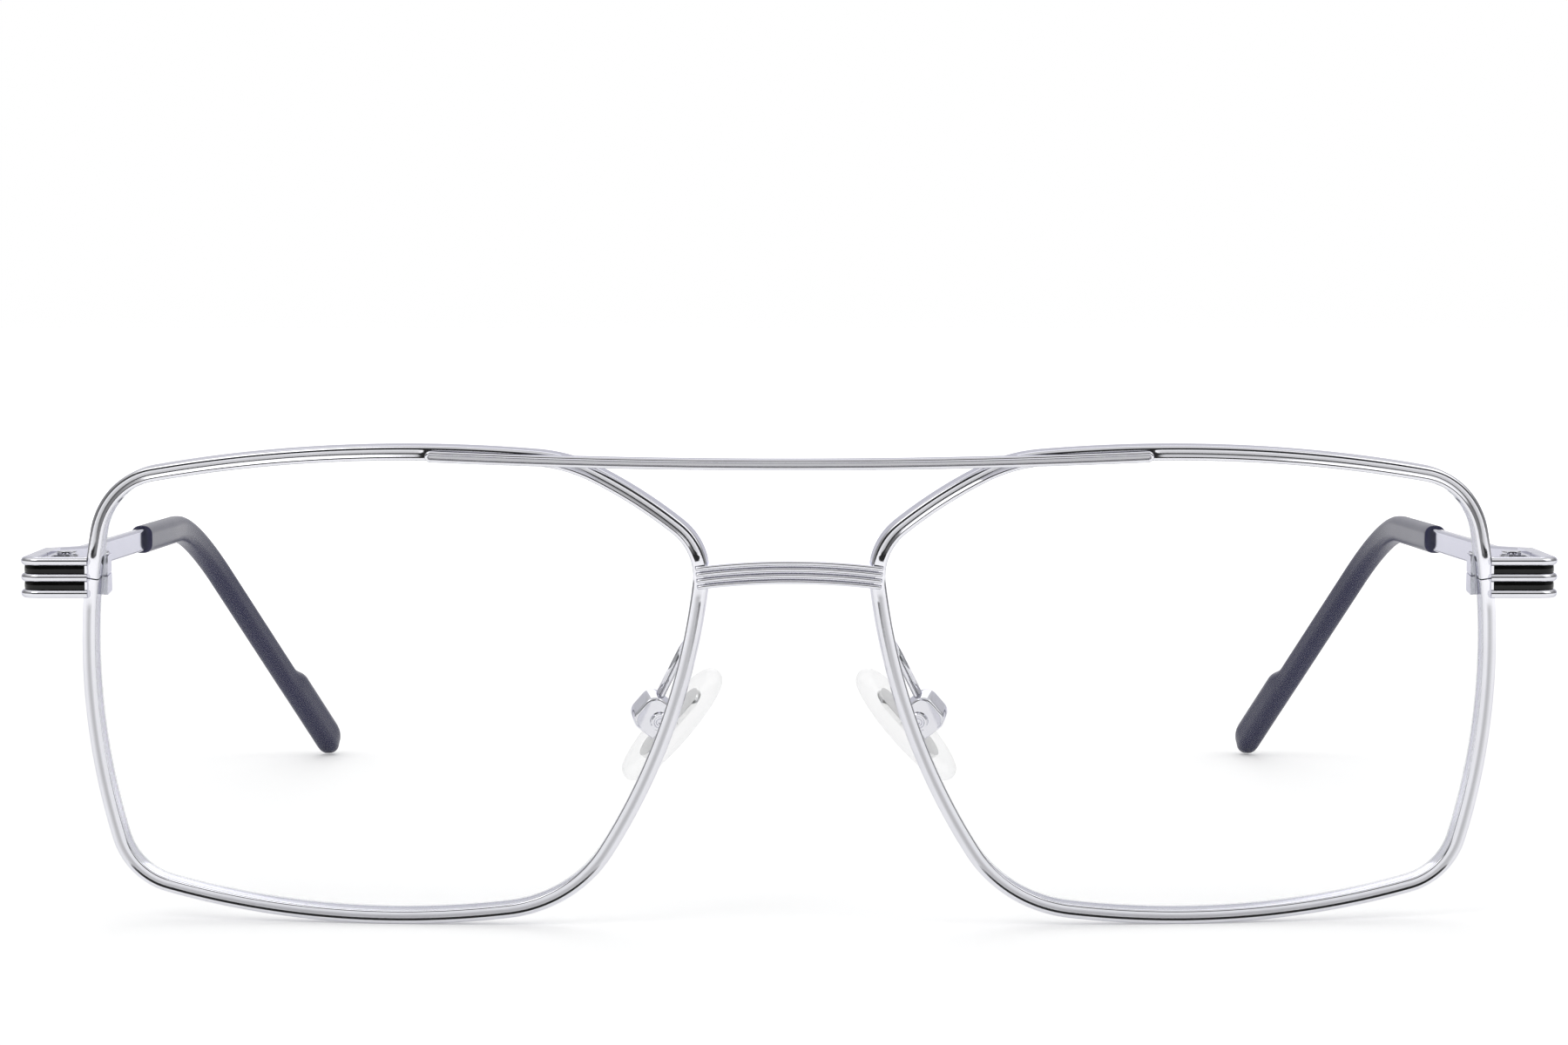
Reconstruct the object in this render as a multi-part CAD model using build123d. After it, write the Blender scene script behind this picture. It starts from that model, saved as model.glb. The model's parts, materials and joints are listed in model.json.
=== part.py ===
from build123d import *
import os
from math import asin, cos, degrees, radians, sin, sqrt

# Wire spectacle frame with two bridges, standing open on its rims and temple
# tips. Millimetres and degrees. X runs to the wearer's left, Y runs back
# towards the wearer, Z is up. Left and right are the wearer's. The left half
# is modelled and mirrored. Until the last step the zero height is the middle
# of the lenses, and the zero depth is the rim wire where the bridge meets it.

os.makedirs("parts", exist_ok=True)

# Lens shape, the gap between the lenses, and how the front is bent
lens_width = 59
lens_height = 45
bridge_width = 17
base_curve_radius = 125
wrap_angle = 5
pantoscopic_tilt = 5
outline_reach = 14

# Where the five sides of a lens would meet, and a point on each side, as
# shares of half the lens width and height. Plus is towards the temple.
corner_shares = [(0.949, 0.849), (-0.563, 0.976), (-1.005, 0.596), (-0.569, -0.924), (0.893, -0.858)]
side_shares = [(0.169, 0.999), (-0.793, 0.816), (-0.891, -0.151), (0.102, -0.996), (1.010, 0.044)]
temple_top_corner_radius = 7
brow_corner_radius = 15
nose_top_corner_radius = 6
nose_bottom_corner_radius = 13
temple_bottom_corner_radius = 6.2

# Rim wire
rim_width = 1.4
rim_depth = 2.2
rim_bevel = 0.27
rim_line_width = 0.6
rim_line_depth = 0.15
rim_line_gap = 1.2
rim_saw_cut = 0.12

# Lens and the groove that holds it
lens_thickness = 1.8
lens_edge_thickness = 0.8
lens_edge_height = 0.4
lens_clearance = 0.03

# Lower bridge
bridge_height = 10.9
bridge_bar_height = 2.4
bridge_bar_depth = 1.9
bridge_bar_forward = 0.5
bridge_arch_rise = 0.55
bridge_overlap = 0.3
bridge_ridges = 4
bridge_ridge_bulge = 0.28

# Upper bridge, a bar soldered on the front of both rims
bar_length = 68.8
bar_height = 1.05
bar_depth = 1.2
bar_sag = 0.75
bar_bow = 0.25
bar_seat = 0.2
bar_rounding = 0.24
bar_line_width = 0.42
bar_line_depth = 0.12

# End pieces, which turn the corner from the rims to the temples
endpiece_height = 9.9
endpiece_reach = 6.4
endpiece_thickness = 1.7
endpiece_corner_radius = 2.0
endpiece_return = 6.6
endpiece_forward = 0.3
endpiece_seat = 0.5
ridge_height = 0.8
ridge_bulge = 0.3
stripe_height = 0.76
stripe_depth = 0.35
stripe_sink = 0.06
stripe_end = 0.35

# Closing blocks behind the rims, and their screws
block_height = 3.7
block_depth = 2.2
block_inset = 0.55
block_bevel = 0.25
block_lens_gap = 0.1
block_screw_radius = 0.45
block_screw_head_radius = 0.75
block_screw_head_height = 0.3

# Hinges
hinge_knuckle_radius = 1.15
hinge_axis_offset = 1.9
hinge_leaf_thickness = 0.8
hinge_leaf_length = 4.2
hinge_height = 3.6
hinge_middle_height = 1.3
hinge_gap = 0.06
hinge_notch_clearance = 0.12
hinge_screw_radius = 0.6
hinge_running_clearance = 0.04
hinge_screw_head_radius = 0.95
hinge_screw_head_height = 0.35

# Temples, measured from the hinge
temple_length = 140
temple_bend_at = 93.3
temple_block_length = 7
temple_taper_length = 16
temple_arm_height = 2.5
temple_arm_thickness = 1.1
temple_arm_rounding = 0.3
temple_lean_in = 0.5
temple_lean_down = 1.1
temple_drop_angle = 42.1
temple_turn_in = 23.5
temple_bend_radius = 24
temple_core_height = 1.5
temple_core_thickness = 0.8
temple_core_end_gap = 12

# Temple tips
tip_start = 60
tip_height = 3.1
tip_thickness = 2.4
tip_paddle_height = 4.3
tip_paddle_thickness = 2.6
tip_paddle_length = 16
tip_corner_radius = 1.0
# Along the paddle from its neck, its height and thickness there, and how much of
# its rise above the sleeve it has reached, as shares. Its lower edge stays straight.
paddle_shares = [(0.2, 0.95, 0.98, 0.83), (0.5, 1, 1, 1), (0.86, 1, 1, 1),
                 (0.95, 0.82, 0.88, 1), (0.987, 0.58, 0.66, 1), (1, 0.36, 0.45, 1)]

# Nose pads, their boxes, screws and arms
pad_pivot_side = 12.8
pad_pivot_back = 7.4
pad_pivot_height = -4.3
pad_slant = 41
pad_splay = 13
pad_length = 14
pad_width = 7.6
pad_thickness = 2.2
pad_bevel = 0.6
pad_stand_off = 1.15
pad_shift_back = 1.4
pad_core_length = 8.6
pad_core_width = 3.2
pad_core_thickness = 0.5
pad_core_skin = 0.5
pad_boss_width = 1.5
pad_boss_depth = 1.5
pad_box_length = 3.7
pad_box_width = 3.1
pad_box_depth = 2.9
pad_box_wall = 0.45
pad_box_bevel = 0.3
pad_box_back_rounding = 1.2
pad_box_lip = 0.75
pad_screw_radius = 0.4
pad_screw_head_radius = 0.95
pad_screw_head_height = 0.3
pad_running_clearance = 0.04
pad_arm_radius = 0.45
pad_arm_bend_radius = 1.6
pad_arm_height = 2.4
pad_arm_rise = 0.9
pad_arm_loop = 1.2

# Screws in holes, slots in screw heads, and how far a cutting solid runs past
# what it cuts
screw_clearance = 0.02
screw_slot_width = 0.22
screw_slot_depth = 0.15
overrun = 2

# Places that follow from the sizes above
lens_centre_x = (bridge_width + lens_width) / 2
sphere_x = lens_centre_x - base_curve_radius * sin(radians(wrap_angle))
joint_x = bridge_width / 2
sphere_y = sqrt(base_curve_radius ** 2 - (joint_x - sphere_x) ** 2 - bridge_height ** 2)
lens_centre_y = sphere_y - base_curve_radius * cos(radians(wrap_angle))
lens_place = Pos(lens_centre_x, lens_centre_y, 0) * Rot(0, 0, wrap_angle)


def rim_y(x, z, forward=0):
    """Depth of the rims' middle surface, or of one that lies further forward."""
    radius = base_curve_radius + forward
    return sphere_y - sqrt(radius ** 2 - (x - sphere_x) ** 2 - z ** 2)


def box(x_span, y_span, z_span):
    """Box given by its low and high side in each direction."""
    spans = (x_span, y_span, z_span)
    sizes = [high - low for low, high in spans]
    middles = [(low + high) / 2 for low, high in spans]
    return Pos(*middles) * Box(*sizes)


# Lens outline, rims and lenses

def middle_outline():
    """Outline that the middle of the rim wire follows, seen from the front."""
    scale = [(lens_width / 2, lens_height / 2)] * len(corner_shares)
    corners = [(x * w, z * h) for (x, z), (w, h) in zip(corner_shares, scale)]
    middles = [(x * w, z * h) for (x, z), (w, h) in zip(side_shares, scale)]
    ends = corners[1:] + corners[:1]
    face = make_face([ThreePointArc(a, m, b) for a, m, b in zip(corners, middles, ends)])
    radii = [temple_top_corner_radius, brow_corner_radius, nose_top_corner_radius,
             nose_bottom_corner_radius, temple_bottom_corner_radius]
    for corner, radius in zip(corners, radii):
        vertex = face.vertices().sort_by_distance((*corner, 0))[0]
        face = fillet(vertex, radius)
    return face


outline = middle_outline()


def rim_point(height, end):
    """Point of the rims' middle line at a height: end 0 by the nose, -1 by the temple."""
    chord = Line((-lens_width, height), (lens_width, height)) & outline
    x = chord.vertices().sort_by(Axis.X)[end].X
    y = base_curve_radius - sqrt(base_curve_radius ** 2 - x ** 2 - height ** 2)
    return (lens_place * Pos(x, y, height)).position


def prism(growth):
    """Solid with the lens outline, grown outwards, running front to back."""
    arcs = []
    for arc in outline.edges():
        centre = arc.arc_center
        scale = (arc.radius + growth) / arc.radius
        arcs.append(ThreePointArc(*[centre + (arc @ share - centre) * scale for share in (0, 0.5, 1)]))
    return extrude(Plane.XZ * make_face(arcs), amount=outline_reach, both=True)


def slab(forward, thickness):
    """Curved slab that follows the base curve, its middle moved forward."""
    outer = Sphere(base_curve_radius + forward + thickness / 2)
    inner = Sphere(base_curve_radius + forward - thickness / 2)
    return Pos(0, base_curve_radius, 0) * (outer - inner)


def make_rim_blank():
    """Rim wire with its bevelled edges, before the grooves are cut."""
    band = (prism(rim_width / 2) - prism(-rim_width / 2)) & slab(0, rim_depth)
    skins = band.faces().filter_by(GeomType.SPHERE)
    edges = ShapeList([edge for skin in skins for edge in skin.edges()])
    return chamfer(edges, rim_bevel)


def make_rim(blank):
    """Rim with its lens groove, the channel rolled along its front and the saw cut."""
    groove_floor = lens_edge_height - rim_width / 2 + lens_clearance
    rim = blank - (prism(groove_floor) & slab(0, lens_edge_thickness + 2 * lens_clearance))
    line = prism(rim_line_width / 2) - prism(-rim_line_width / 2)
    line &= slab(rim_depth / 2, 2 * rim_line_depth)
    joints = [(-1, bridge_height, bridge_bar_height), (1, endpiece_height, endpiece_tall)]
    for side, height, tall in joints:
        reach = sorted((0, side * lens_width))
        half = tall / 2 + rim_line_gap / 2
        line -= box(reach, (-outline_reach, outline_reach), (height - half, height + half))
    rim -= line
    cut = (endpiece_height - rim_saw_cut / 2, endpiece_height + rim_saw_cut / 2)
    return rim - box((0, lens_width), (-outline_reach, outline_reach), cut)


def lens_room(gap):
    """Space that a lens fills, with a gap before and behind it."""
    return lens_place * (prism(0) & slab(0, lens_thickness + 2 * gap))


def make_lens():
    """Lens: a curved plate with a narrow edge that sits in the rim's groove."""
    plate = prism(-rim_width / 2 - lens_clearance) & slab(0, lens_thickness)
    edge = prism(lens_edge_height - rim_width / 2) & slab(0, lens_edge_thickness)
    return plate + edge


# Bars with rounded ridges

def ridged_face(thickness, bulge, ridges):
    """Section of a bar: flat back, a rounded ridge over each span of heights."""
    flat = thickness - bulge
    low = ridges[0][0]
    high = ridges[-1][1]
    edges = [Line((0, high), (0, low)), Line((0, low), (flat, low)), Line((flat, high), (0, high))]
    for start, end in ridges:
        edges.append(ThreePointArc((flat, start), (thickness, (start + end) / 2), (flat, end)))
    for (_, end), (start, _) in zip(ridges, ridges[1:]):
        if start > end:
            edges.append(Line((flat, end), (flat, start)))
    return make_face(edges)


def make_bridge():
    """Lower bridge: a ridged bar, arched upwards between the rims."""
    reach = rim_point(bridge_height, 0).X + bridge_overlap
    radius = (reach ** 2 + bridge_arch_rise ** 2) / (2 * bridge_arch_rise)
    pitch = bridge_bar_height / bridge_ridges
    lows = [pitch * (i - bridge_ridges / 2) for i in range(bridge_ridges)]
    face = ridged_face(bridge_bar_depth, bridge_ridge_bulge, [(low, low + pitch) for low in lows])
    back = bridge_bar_depth - bridge_bar_forward - rim_depth / 2
    top = bridge_height + bridge_arch_rise
    section = Plane((0, back, top), x_dir=(0, -1, 0), z_dir=(-1, 0, 0)) * face
    axis = Axis((0, 0, top - radius), (0, 1, 0))
    swing = 2 * degrees(asin(reach / radius))
    return revolve(section.rotate(axis, -swing / 2), axis, swing)


def make_top_bar():
    """Upper bridge: a slender bar, seen from the front with a slight sag."""
    half = (bar_length - bar_height) / 2
    line = lens_height / 2
    sag_arc = ThreePointArc((-half, line), (0, line - bar_sag), (half, line))
    face = SlotArc(sag_arc, bar_height)
    back = rim_y(half, line, rim_depth / 2) + bar_seat
    end = half + overrun

    def layer(low, high):
        """Curved layer of the bar, between two depths in front of its back."""
        edges = [
            ThreePointArc((-end, back - low), (0, back - low - bar_bow), (end, back - low)),
            Line((end, back - low), (end, back - high)),
            ThreePointArc((end, back - high), (0, back - high - bar_bow), (-end, back - high)),
            Line((-end, back - high), (-end, back - low)),
        ]
        return Pos(0, 0, line) * extrude(make_face(edges), amount=bar_height + bar_sag + overrun, both=True)

    def front(shape):
        return extrude(Plane.XZ * shape, amount=outline_reach, both=True)

    bar = front(face) & layer(0, bar_depth)
    face_edges = bar.faces().sort_by(Axis.Y)[0].edges()
    bar = fillet(face_edges, bar_rounding)
    groove = offset(face, amount=(bar_line_width - bar_height) / 2)
    return bar - (front(groove) & layer(bar_depth - bar_line_depth, bar_depth + overrun))


# End pieces and hinges

endpiece_tall = 3 * ridge_height + 2 * stripe_height
stripe_pitch = ridge_height + stripe_height
rim_side = rim_point(endpiece_height, -1)
rim_side_x = rim_side.X
rim_side_y = rim_side.Y
outer_x = rim_side_x + rim_width / 2 + endpiece_reach
front_y = rim_side_y - rim_depth / 2 - endpiece_forward
seam_y = front_y + endpiece_return
inner_x = outer_x - endpiece_thickness
hinge_x = inner_x - hinge_axis_offset
hinge_y = seam_y + hinge_gap / 2


def ridge_section():
    """Three ridges with two flat lands between them, for the stripes."""
    middles = [-stripe_pitch, 0, stripe_pitch]
    spans = [(middle - ridge_height / 2, middle + ridge_height / 2) for middle in middles]
    return ridged_face(endpiece_thickness, ridge_bulge, spans)


def stripe_sections(sink):
    """Sections of the two stripes, let into the lands between the ridges."""
    flat = endpiece_thickness - ridge_bulge
    depth = stripe_depth - sink
    middle = flat - stripe_depth + depth / 2
    return [Pos(middle, side * stripe_pitch / 2) * Rectangle(depth, stripe_height) for side in (-1, 1)]


def corner_path(start_x):
    """Path along the flat back of the end piece, round its corner."""
    back_y = front_y + endpiece_thickness
    points = [(start_x, back_y, endpiece_height), (inner_x, back_y, endpiece_height),
              (inner_x, seam_y, endpiece_height)]
    radius = endpiece_corner_radius - endpiece_thickness
    return FilletPolyline(*points, radius=radius)


def along_corner(face, start_x):
    """Sweep a section round the corner of the end piece."""
    back_y = front_y + endpiece_thickness
    plane = Plane((start_x, back_y, endpiece_height), x_dir=(0, -1, 0), z_dir=(-1, 0, 0))
    return sweep(plane * face, path=corner_path(start_x))


def make_endpiece(rim_edge):
    """End piece and its stripes, cut to the rim's outer edge."""
    start = rim_side_x - endpiece_seat
    stripe_start = rim_side_x + rim_width / 2 + stripe_end
    body = along_corner(ridge_section(), start)
    stripes = [along_corner(face, stripe_start) for face in stripe_sections(stripe_sink)]
    for face in stripe_sections(0):
        body -= along_corner(face, stripe_start)
    return body - rim_edge, stripes


def hinge_leaf(side, levels):
    """Hinge leaf: a plate, and a knuckle with its web over each level."""
    edge = hinge_y + side * hinge_gap / 2
    far = edge + side * hinge_leaf_length
    plate_x = (inner_x - hinge_leaf_thickness, inner_x)
    half = hinge_height / 2
    leaf = box(plate_x, sorted((edge, far)), (-half, half))
    others = [(low, high) for low, high in hinge_levels if (low, high) not in levels]
    for low, high in others:
        notch = Cylinder(hinge_knuckle_radius + hinge_notch_clearance, high - low + 2 * hinge_gap)
        leaf -= Pos(hinge_x, hinge_y, (low + high) / 2) * notch
    for low, high in levels:
        web_end = edge + side * hinge_knuckle_radius
        web = box((hinge_x, inner_x), sorted((edge, web_end)), (low, high))
        leaf += web
        leaf += Pos(hinge_x, hinge_y, (low + high) / 2) * Cylinder(hinge_knuckle_radius, high - low)
    hole = Cylinder(hinge_screw_radius + hinge_running_clearance, hinge_height + overrun)
    return Pos(0, 0, endpiece_height) * (leaf - Pos(hinge_x, hinge_y, 0) * hole)


hinge_half = hinge_height / 2
middle_half = hinge_middle_height / 2
hinge_levels = [
    (-hinge_half, -middle_half - hinge_gap / 2),
    (-middle_half + hinge_gap / 2, middle_half - hinge_gap / 2),
    (middle_half + hinge_gap / 2, hinge_half),
]


def slotted_screw(radius, length, head_radius, head_height):
    """Screw standing on the origin, its slotted head on top of its shank."""
    screw = Pos(0, 0, -length / 2) * Cylinder(radius, length)
    screw += Pos(0, 0, head_height / 2) * Cylinder(head_radius, head_height)
    slot = Box(2 * head_radius + overrun, screw_slot_width, 2 * screw_slot_depth)
    return screw - Pos(0, 0, head_height) * slot


def make_hinge_screw():
    screw = slotted_screw(hinge_screw_radius, hinge_height, hinge_screw_head_radius, hinge_screw_head_height)
    return Pos(hinge_x, hinge_y, endpiece_height + hinge_half) * screw


# Closing blocks

def make_blocks(rim_blank):
    """Two halves of the closing block behind the rim, and its screw."""
    front = rim_side_y
    rim_back = rim_side_y + rim_depth / 2
    outer = rim_side_x + rim_width / 2 - block_bevel
    inner = rim_side_x - rim_width / 2 - block_inset
    kept_free = lens_room(block_lens_gap) + rim_blank
    centre = Pos((inner + outer) / 2, rim_back + block_depth / 2, endpiece_height)
    shaft = centre * Cylinder(block_screw_radius + screw_clearance, block_height + overrun)
    halves = []
    for side in (1, -1):
        z_span = sorted((endpiece_height + side * rim_saw_cut / 2, endpiece_height + side * block_height / 2))
        half = box((inner, outer), (front, rim_back + block_depth), z_span)
        back_face = half.faces().sort_by(Axis.Y)[-1]
        half = chamfer(back_face.edges().filter_by(Axis.Z), block_bevel)
        halves.append(half - kept_free - shaft)
    screw = slotted_screw(block_screw_radius, block_height, block_screw_head_radius, block_screw_head_height)
    return halves, centre * Pos(0, 0, block_height / 2) * screw


# Temples

def direction(down, inward):
    """Unit vector back along a temple that leans down and inwards."""
    level = cos(radians(down))
    return Vector(-sin(radians(inward)) * level, cos(radians(inward)) * level, -sin(radians(down)))


arm_x = outer_x - endpiece_thickness / 2
arm_start = Vector(arm_x, seam_y + hinge_gap, endpiece_height)
arm_way = direction(temple_lean_down, temple_lean_in)
drop_way = direction(temple_drop_angle, temple_turn_in)
block_end = arm_start + Vector(0, temple_block_length, 0)
bend_point = block_end + arm_way * (temple_bend_at - temple_block_length)
tip_end = bend_point + drop_way * (temple_length - temple_bend_at)
tip_begin = block_end + arm_way * (tip_start - temple_block_length)


def across(point, way, side_axis):
    """Plane square to a temple, its x axis pointing sideways."""
    return Plane(point, x_dir=side_axis, z_dir=way)


def arm_side(way):
    """Sideways direction of the flat arm, level and square to it."""
    return way.cross(Vector(0, 0, 1)).normalized()


bend_axis = arm_way.cross(drop_way).normalized()
bend_angle = arm_way.get_angle(drop_way)
drop_side = arm_side(arm_way).rotate(Axis((0, 0, 0), bend_axis), bend_angle)
drop_up = drop_side.cross(drop_way)


def bent_path(start, end):
    """Path from one point on the arm to another on the drop, round the bend."""
    return FilletPolyline(start, bend_point, end, radius=temple_bend_radius)


def make_temple():
    """Temple with its stripes: ridged block, tapering flat arm and a core that runs into the tip."""
    side = arm_side(arm_way)
    block_plane = Plane((inner_x, seam_y + hinge_gap, endpiece_height), x_dir=(1, 0, 0), z_dir=(0, -1, 0))
    block = extrude(block_plane * ridge_section(), amount=-temple_block_length)
    stripes = []
    stripe_length = temple_block_length - stripe_end
    for cut, fill in zip(stripe_sections(0), stripe_sections(stripe_sink)):
        block -= extrude(block_plane * cut, amount=-stripe_length)
        stripes.append(extrude(block_plane * fill, amount=-stripe_length))
    flat_thickness = endpiece_thickness - ridge_bulge
    block_back = Vector(inner_x + flat_thickness / 2, block_end.Y, endpiece_height)
    taper_end = block_end + arm_way * temple_taper_length
    arm_face = RectangleRounded(temple_arm_thickness, temple_arm_height, temple_arm_rounding)
    wide_face = RectangleRounded(flat_thickness, endpiece_tall, temple_arm_rounding)
    wide_plane = across(block_back, Vector(0, 1, 0), Vector(1, 0, 0))
    taper = loft([wide_plane * wide_face, across(taper_end, arm_way, side) * arm_face], ruled=True)
    blade = loft([across(point, arm_way, side) * arm_face for point in (taper_end, tip_begin)], ruled=True)
    core_face = Rectangle(temple_core_thickness, temple_core_height)
    core_path = bent_path(tip_begin, tip_end - drop_way * temple_core_end_gap)
    core = sweep(across(tip_begin, arm_way, side) * core_face, path=core_path)
    return block + taper + blade + core, stripes, core


def make_tip(core):
    """Plastic tip: an even sleeve round the bend, then a flattened paddle."""
    sleeve_face = RectangleRounded(tip_thickness, tip_height, tip_corner_radius)
    neck = tip_end - drop_way * tip_paddle_length
    start_plane = across(tip_begin, arm_way, arm_side(arm_way))
    sleeve = sweep(start_plane * sleeve_face, path=bent_path(tip_begin, neck))
    sections = [across(neck, drop_way, drop_side) * sleeve_face]
    rise = (tip_paddle_height - tip_height) / 2
    for along_share, height_share, thickness_share, rise_share in paddle_shares:
        thickness = tip_paddle_thickness * thickness_share
        corner = tip_corner_radius * thickness_share
        face = RectangleRounded(thickness, tip_paddle_height * height_share, corner)
        point = neck + drop_way * tip_paddle_length * along_share + drop_up * rise * rise_share
        sections.append(across(point, drop_way, drop_side) * face)
    paddle = loft(sections, ruled=True)
    return sleeve + paddle - core


# Nose pads. Their own frame has its origin on the screw's axis, x down along
# the pad, y forwards along the screw and z towards the nose.

pad_along = Vector(sin(radians(pad_slant)), 0, -cos(radians(pad_slant)))
pad_normal = Vector(-cos(radians(pad_slant)), 0, -sin(radians(pad_slant)))
pad_pivot = Vector(pad_pivot_side, pad_pivot_back, pad_pivot_height)
pad_place = Plane(pad_pivot, x_dir=pad_along, z_dir=pad_normal).location * Rot(pad_splay, 0, 0)


def make_nose_pad():
    """Oval pad and the core plate inside it, whose boss the screw goes through."""
    centre = Pos(0, -pad_shift_back, pad_stand_off)
    pad = extrude(Ellipse(pad_length / 2, pad_width / 2), amount=pad_thickness)
    pad = centre * chamfer(pad.edges(), pad_bevel)
    plate = extrude(SlotOverall(pad_core_length, pad_core_width), amount=pad_core_thickness)
    core = centre * Pos(0, 0, pad_core_skin) * plate
    boss_top = pad_stand_off + pad_core_skin + pad_core_thickness / 2
    boss_wall = pad_boss_width / 2
    core += box((-boss_wall, boss_wall), (-pad_boss_depth / 2, pad_boss_depth / 2), (0, boss_top))
    core += Rot(90, 0, 0) * Cylinder(boss_wall, pad_boss_depth)
    hole = Rot(90, 0, 0) * Cylinder(pad_screw_radius + pad_running_clearance, pad_boss_depth + overrun)
    return pad - core, core - hole


def make_pad_box():
    """Round-cornered box open towards the pad, its plain outer block and its screw."""
    low = pad_box_lip - pad_box_width
    half_x = pad_box_length / 2
    half_y = pad_box_depth / 2
    block = box((-half_x, half_x), (-half_y, half_y), (low, pad_box_lip))
    rounded = block.edges().filter_by(Axis.Y)
    block = fillet(rounded.sort_by(Axis.Z)[:2], pad_box_back_rounding)
    rims = block.faces().filter_by(Axis.Y)
    block = chamfer(ShapeList([edge for face in rims for edge in face.edges()]), pad_box_bevel)
    inside_x = half_x - pad_box_wall
    inside_y = half_y - pad_box_wall
    room = box((-inside_x, inside_x), (-inside_y, inside_y), (low + pad_box_wall, pad_box_lip + overrun))
    room = fillet(room.edges().filter_by(Axis.Y).sort_by(Axis.Z)[:2], pad_box_back_rounding - pad_box_wall)
    hole = Rot(90, 0, 0) * Cylinder(pad_screw_radius + screw_clearance, pad_box_depth + overrun)
    screw = slotted_screw(pad_screw_radius, pad_box_depth, pad_screw_head_radius, pad_screw_head_height)
    return block - room - hole, block, Pos(0, half_y, 0) * Rot(-90, 0, 0) * screw


def make_pad_arm():
    """Wire from the rim's nose side, back and round to the pad box."""
    start = rim_point(pad_arm_height, 0)
    end = (pad_place * Pos(0, 0, pad_box_lip - pad_box_width / 2)).position
    turn = Vector(start.X, end.Y + pad_arm_loop, start.Z + pad_arm_rise)
    path = FilletPolyline(start, turn, end, radius=pad_arm_bend_radius)
    plane = Plane(start, z_dir=turn - start)
    return sweep(plane * Circle(pad_arm_radius), path=path)


# Putting the left half together

plain_rim = make_rim_blank()
rim_blank = lens_place * plain_rim
rim_edge = lens_place * prism(rim_width / 2)
tilt_axis = Axis((0, rim_side_y, endpiece_height), (1, 0, 0))


def tilted(shape):
    """Lean the front so that its top stands forward."""
    return shape.rotate(tilt_axis, pantoscopic_tilt)


blocks, block_screw = make_blocks(rim_blank)
nose_pad, pad_core = make_nose_pad()
pad_box, pad_box_block, pad_screw = make_pad_box()
pad_arm = make_pad_arm() - rim_blank - pad_place * pad_box_block
endpiece, endpiece_stripes = make_endpiece(tilted(rim_edge))
temple, temple_stripes, temple_core = make_temple()
lens_space = lens_room(lens_clearance)
eyes = [rim_blank, lens_space, mirror(rim_blank, about=Plane.YZ), mirror(lens_space, about=Plane.YZ)]

middle_pieces = {
    "bridge": tilted(make_bridge() - eyes),
    "top_bar": tilted(make_top_bar() - eyes),
}

side_pieces = {
    "rim": tilted(lens_place * make_rim(plain_rim)),
    "lens": tilted(lens_place * make_lens()),
    "endpiece": endpiece,
    "endpiece_inlay": Compound(children=endpiece_stripes),
    "block_upper": tilted(blocks[0]),
    "block_lower": tilted(blocks[1]),
    "block_screw": tilted(block_screw),
    "hinge_front": hinge_leaf(-1, [hinge_levels[0], hinge_levels[2]]),
    "hinge_screw": make_hinge_screw(),
    "pad_arm": tilted(pad_arm),
    "pad_box": tilted(pad_place * pad_box),
    "pad_screw": tilted(pad_place * pad_screw),
    "nose_pad": tilted(pad_place * nose_pad),
    "pad_core": tilted(pad_place * pad_core),
    "temple": temple,
    "temple_inlay": Compound(children=temple_stripes),
    "hinge_temple": hinge_leaf(1, [hinge_levels[1]]),
    "temple_tip": make_tip(temple_core),
}

# Standing on its lowest point, centred from front to back

boxes = [piece.bounding_box() for piece in [*middle_pieces.values(), *side_pieces.values()]]
floor = min(b.min.Z for b in boxes)
middle_y = (min(b.min.Y for b in boxes) + max(b.max.Y for b in boxes)) / 2
stand = Pos(0, -middle_y, -floor)

for name, piece in middle_pieces.items():
    export_step(stand * piece, f"parts/{name}.step")
for name, piece in side_pieces.items():
    export_step(stand * piece, f"parts/left_{name}.step")
    export_step(mirror(stand * piece, about=Plane.YZ), f"parts/right_{name}.step")


def told(label, vector):
    print(label, [round(value, 4) for value in (vector.X, vector.Y, vector.Z)])


def tilted_point(point):
    return tilted(Vertex(point.X, point.Y, point.Z)).center()


shift = Vector(0, -middle_y, -floor)
told("Left hinge, mm:", Vector(hinge_x, hinge_y, endpiece_height) + shift)
pad_front = (pad_place * Pos(0, pad_box_depth, 0)).position
told("Left pad screw, mm:", tilted_point(pad_pivot) + shift)
told("Left pad screw's direction:", (tilted_point(pad_front) - tilted_point(pad_pivot)).normalized())
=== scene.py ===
import json
from math import asin, atan2, ceil, cos, pi, radians, sin, sqrt, tan

import bmesh
import bpy
from mathutils import Matrix, Vector


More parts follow.
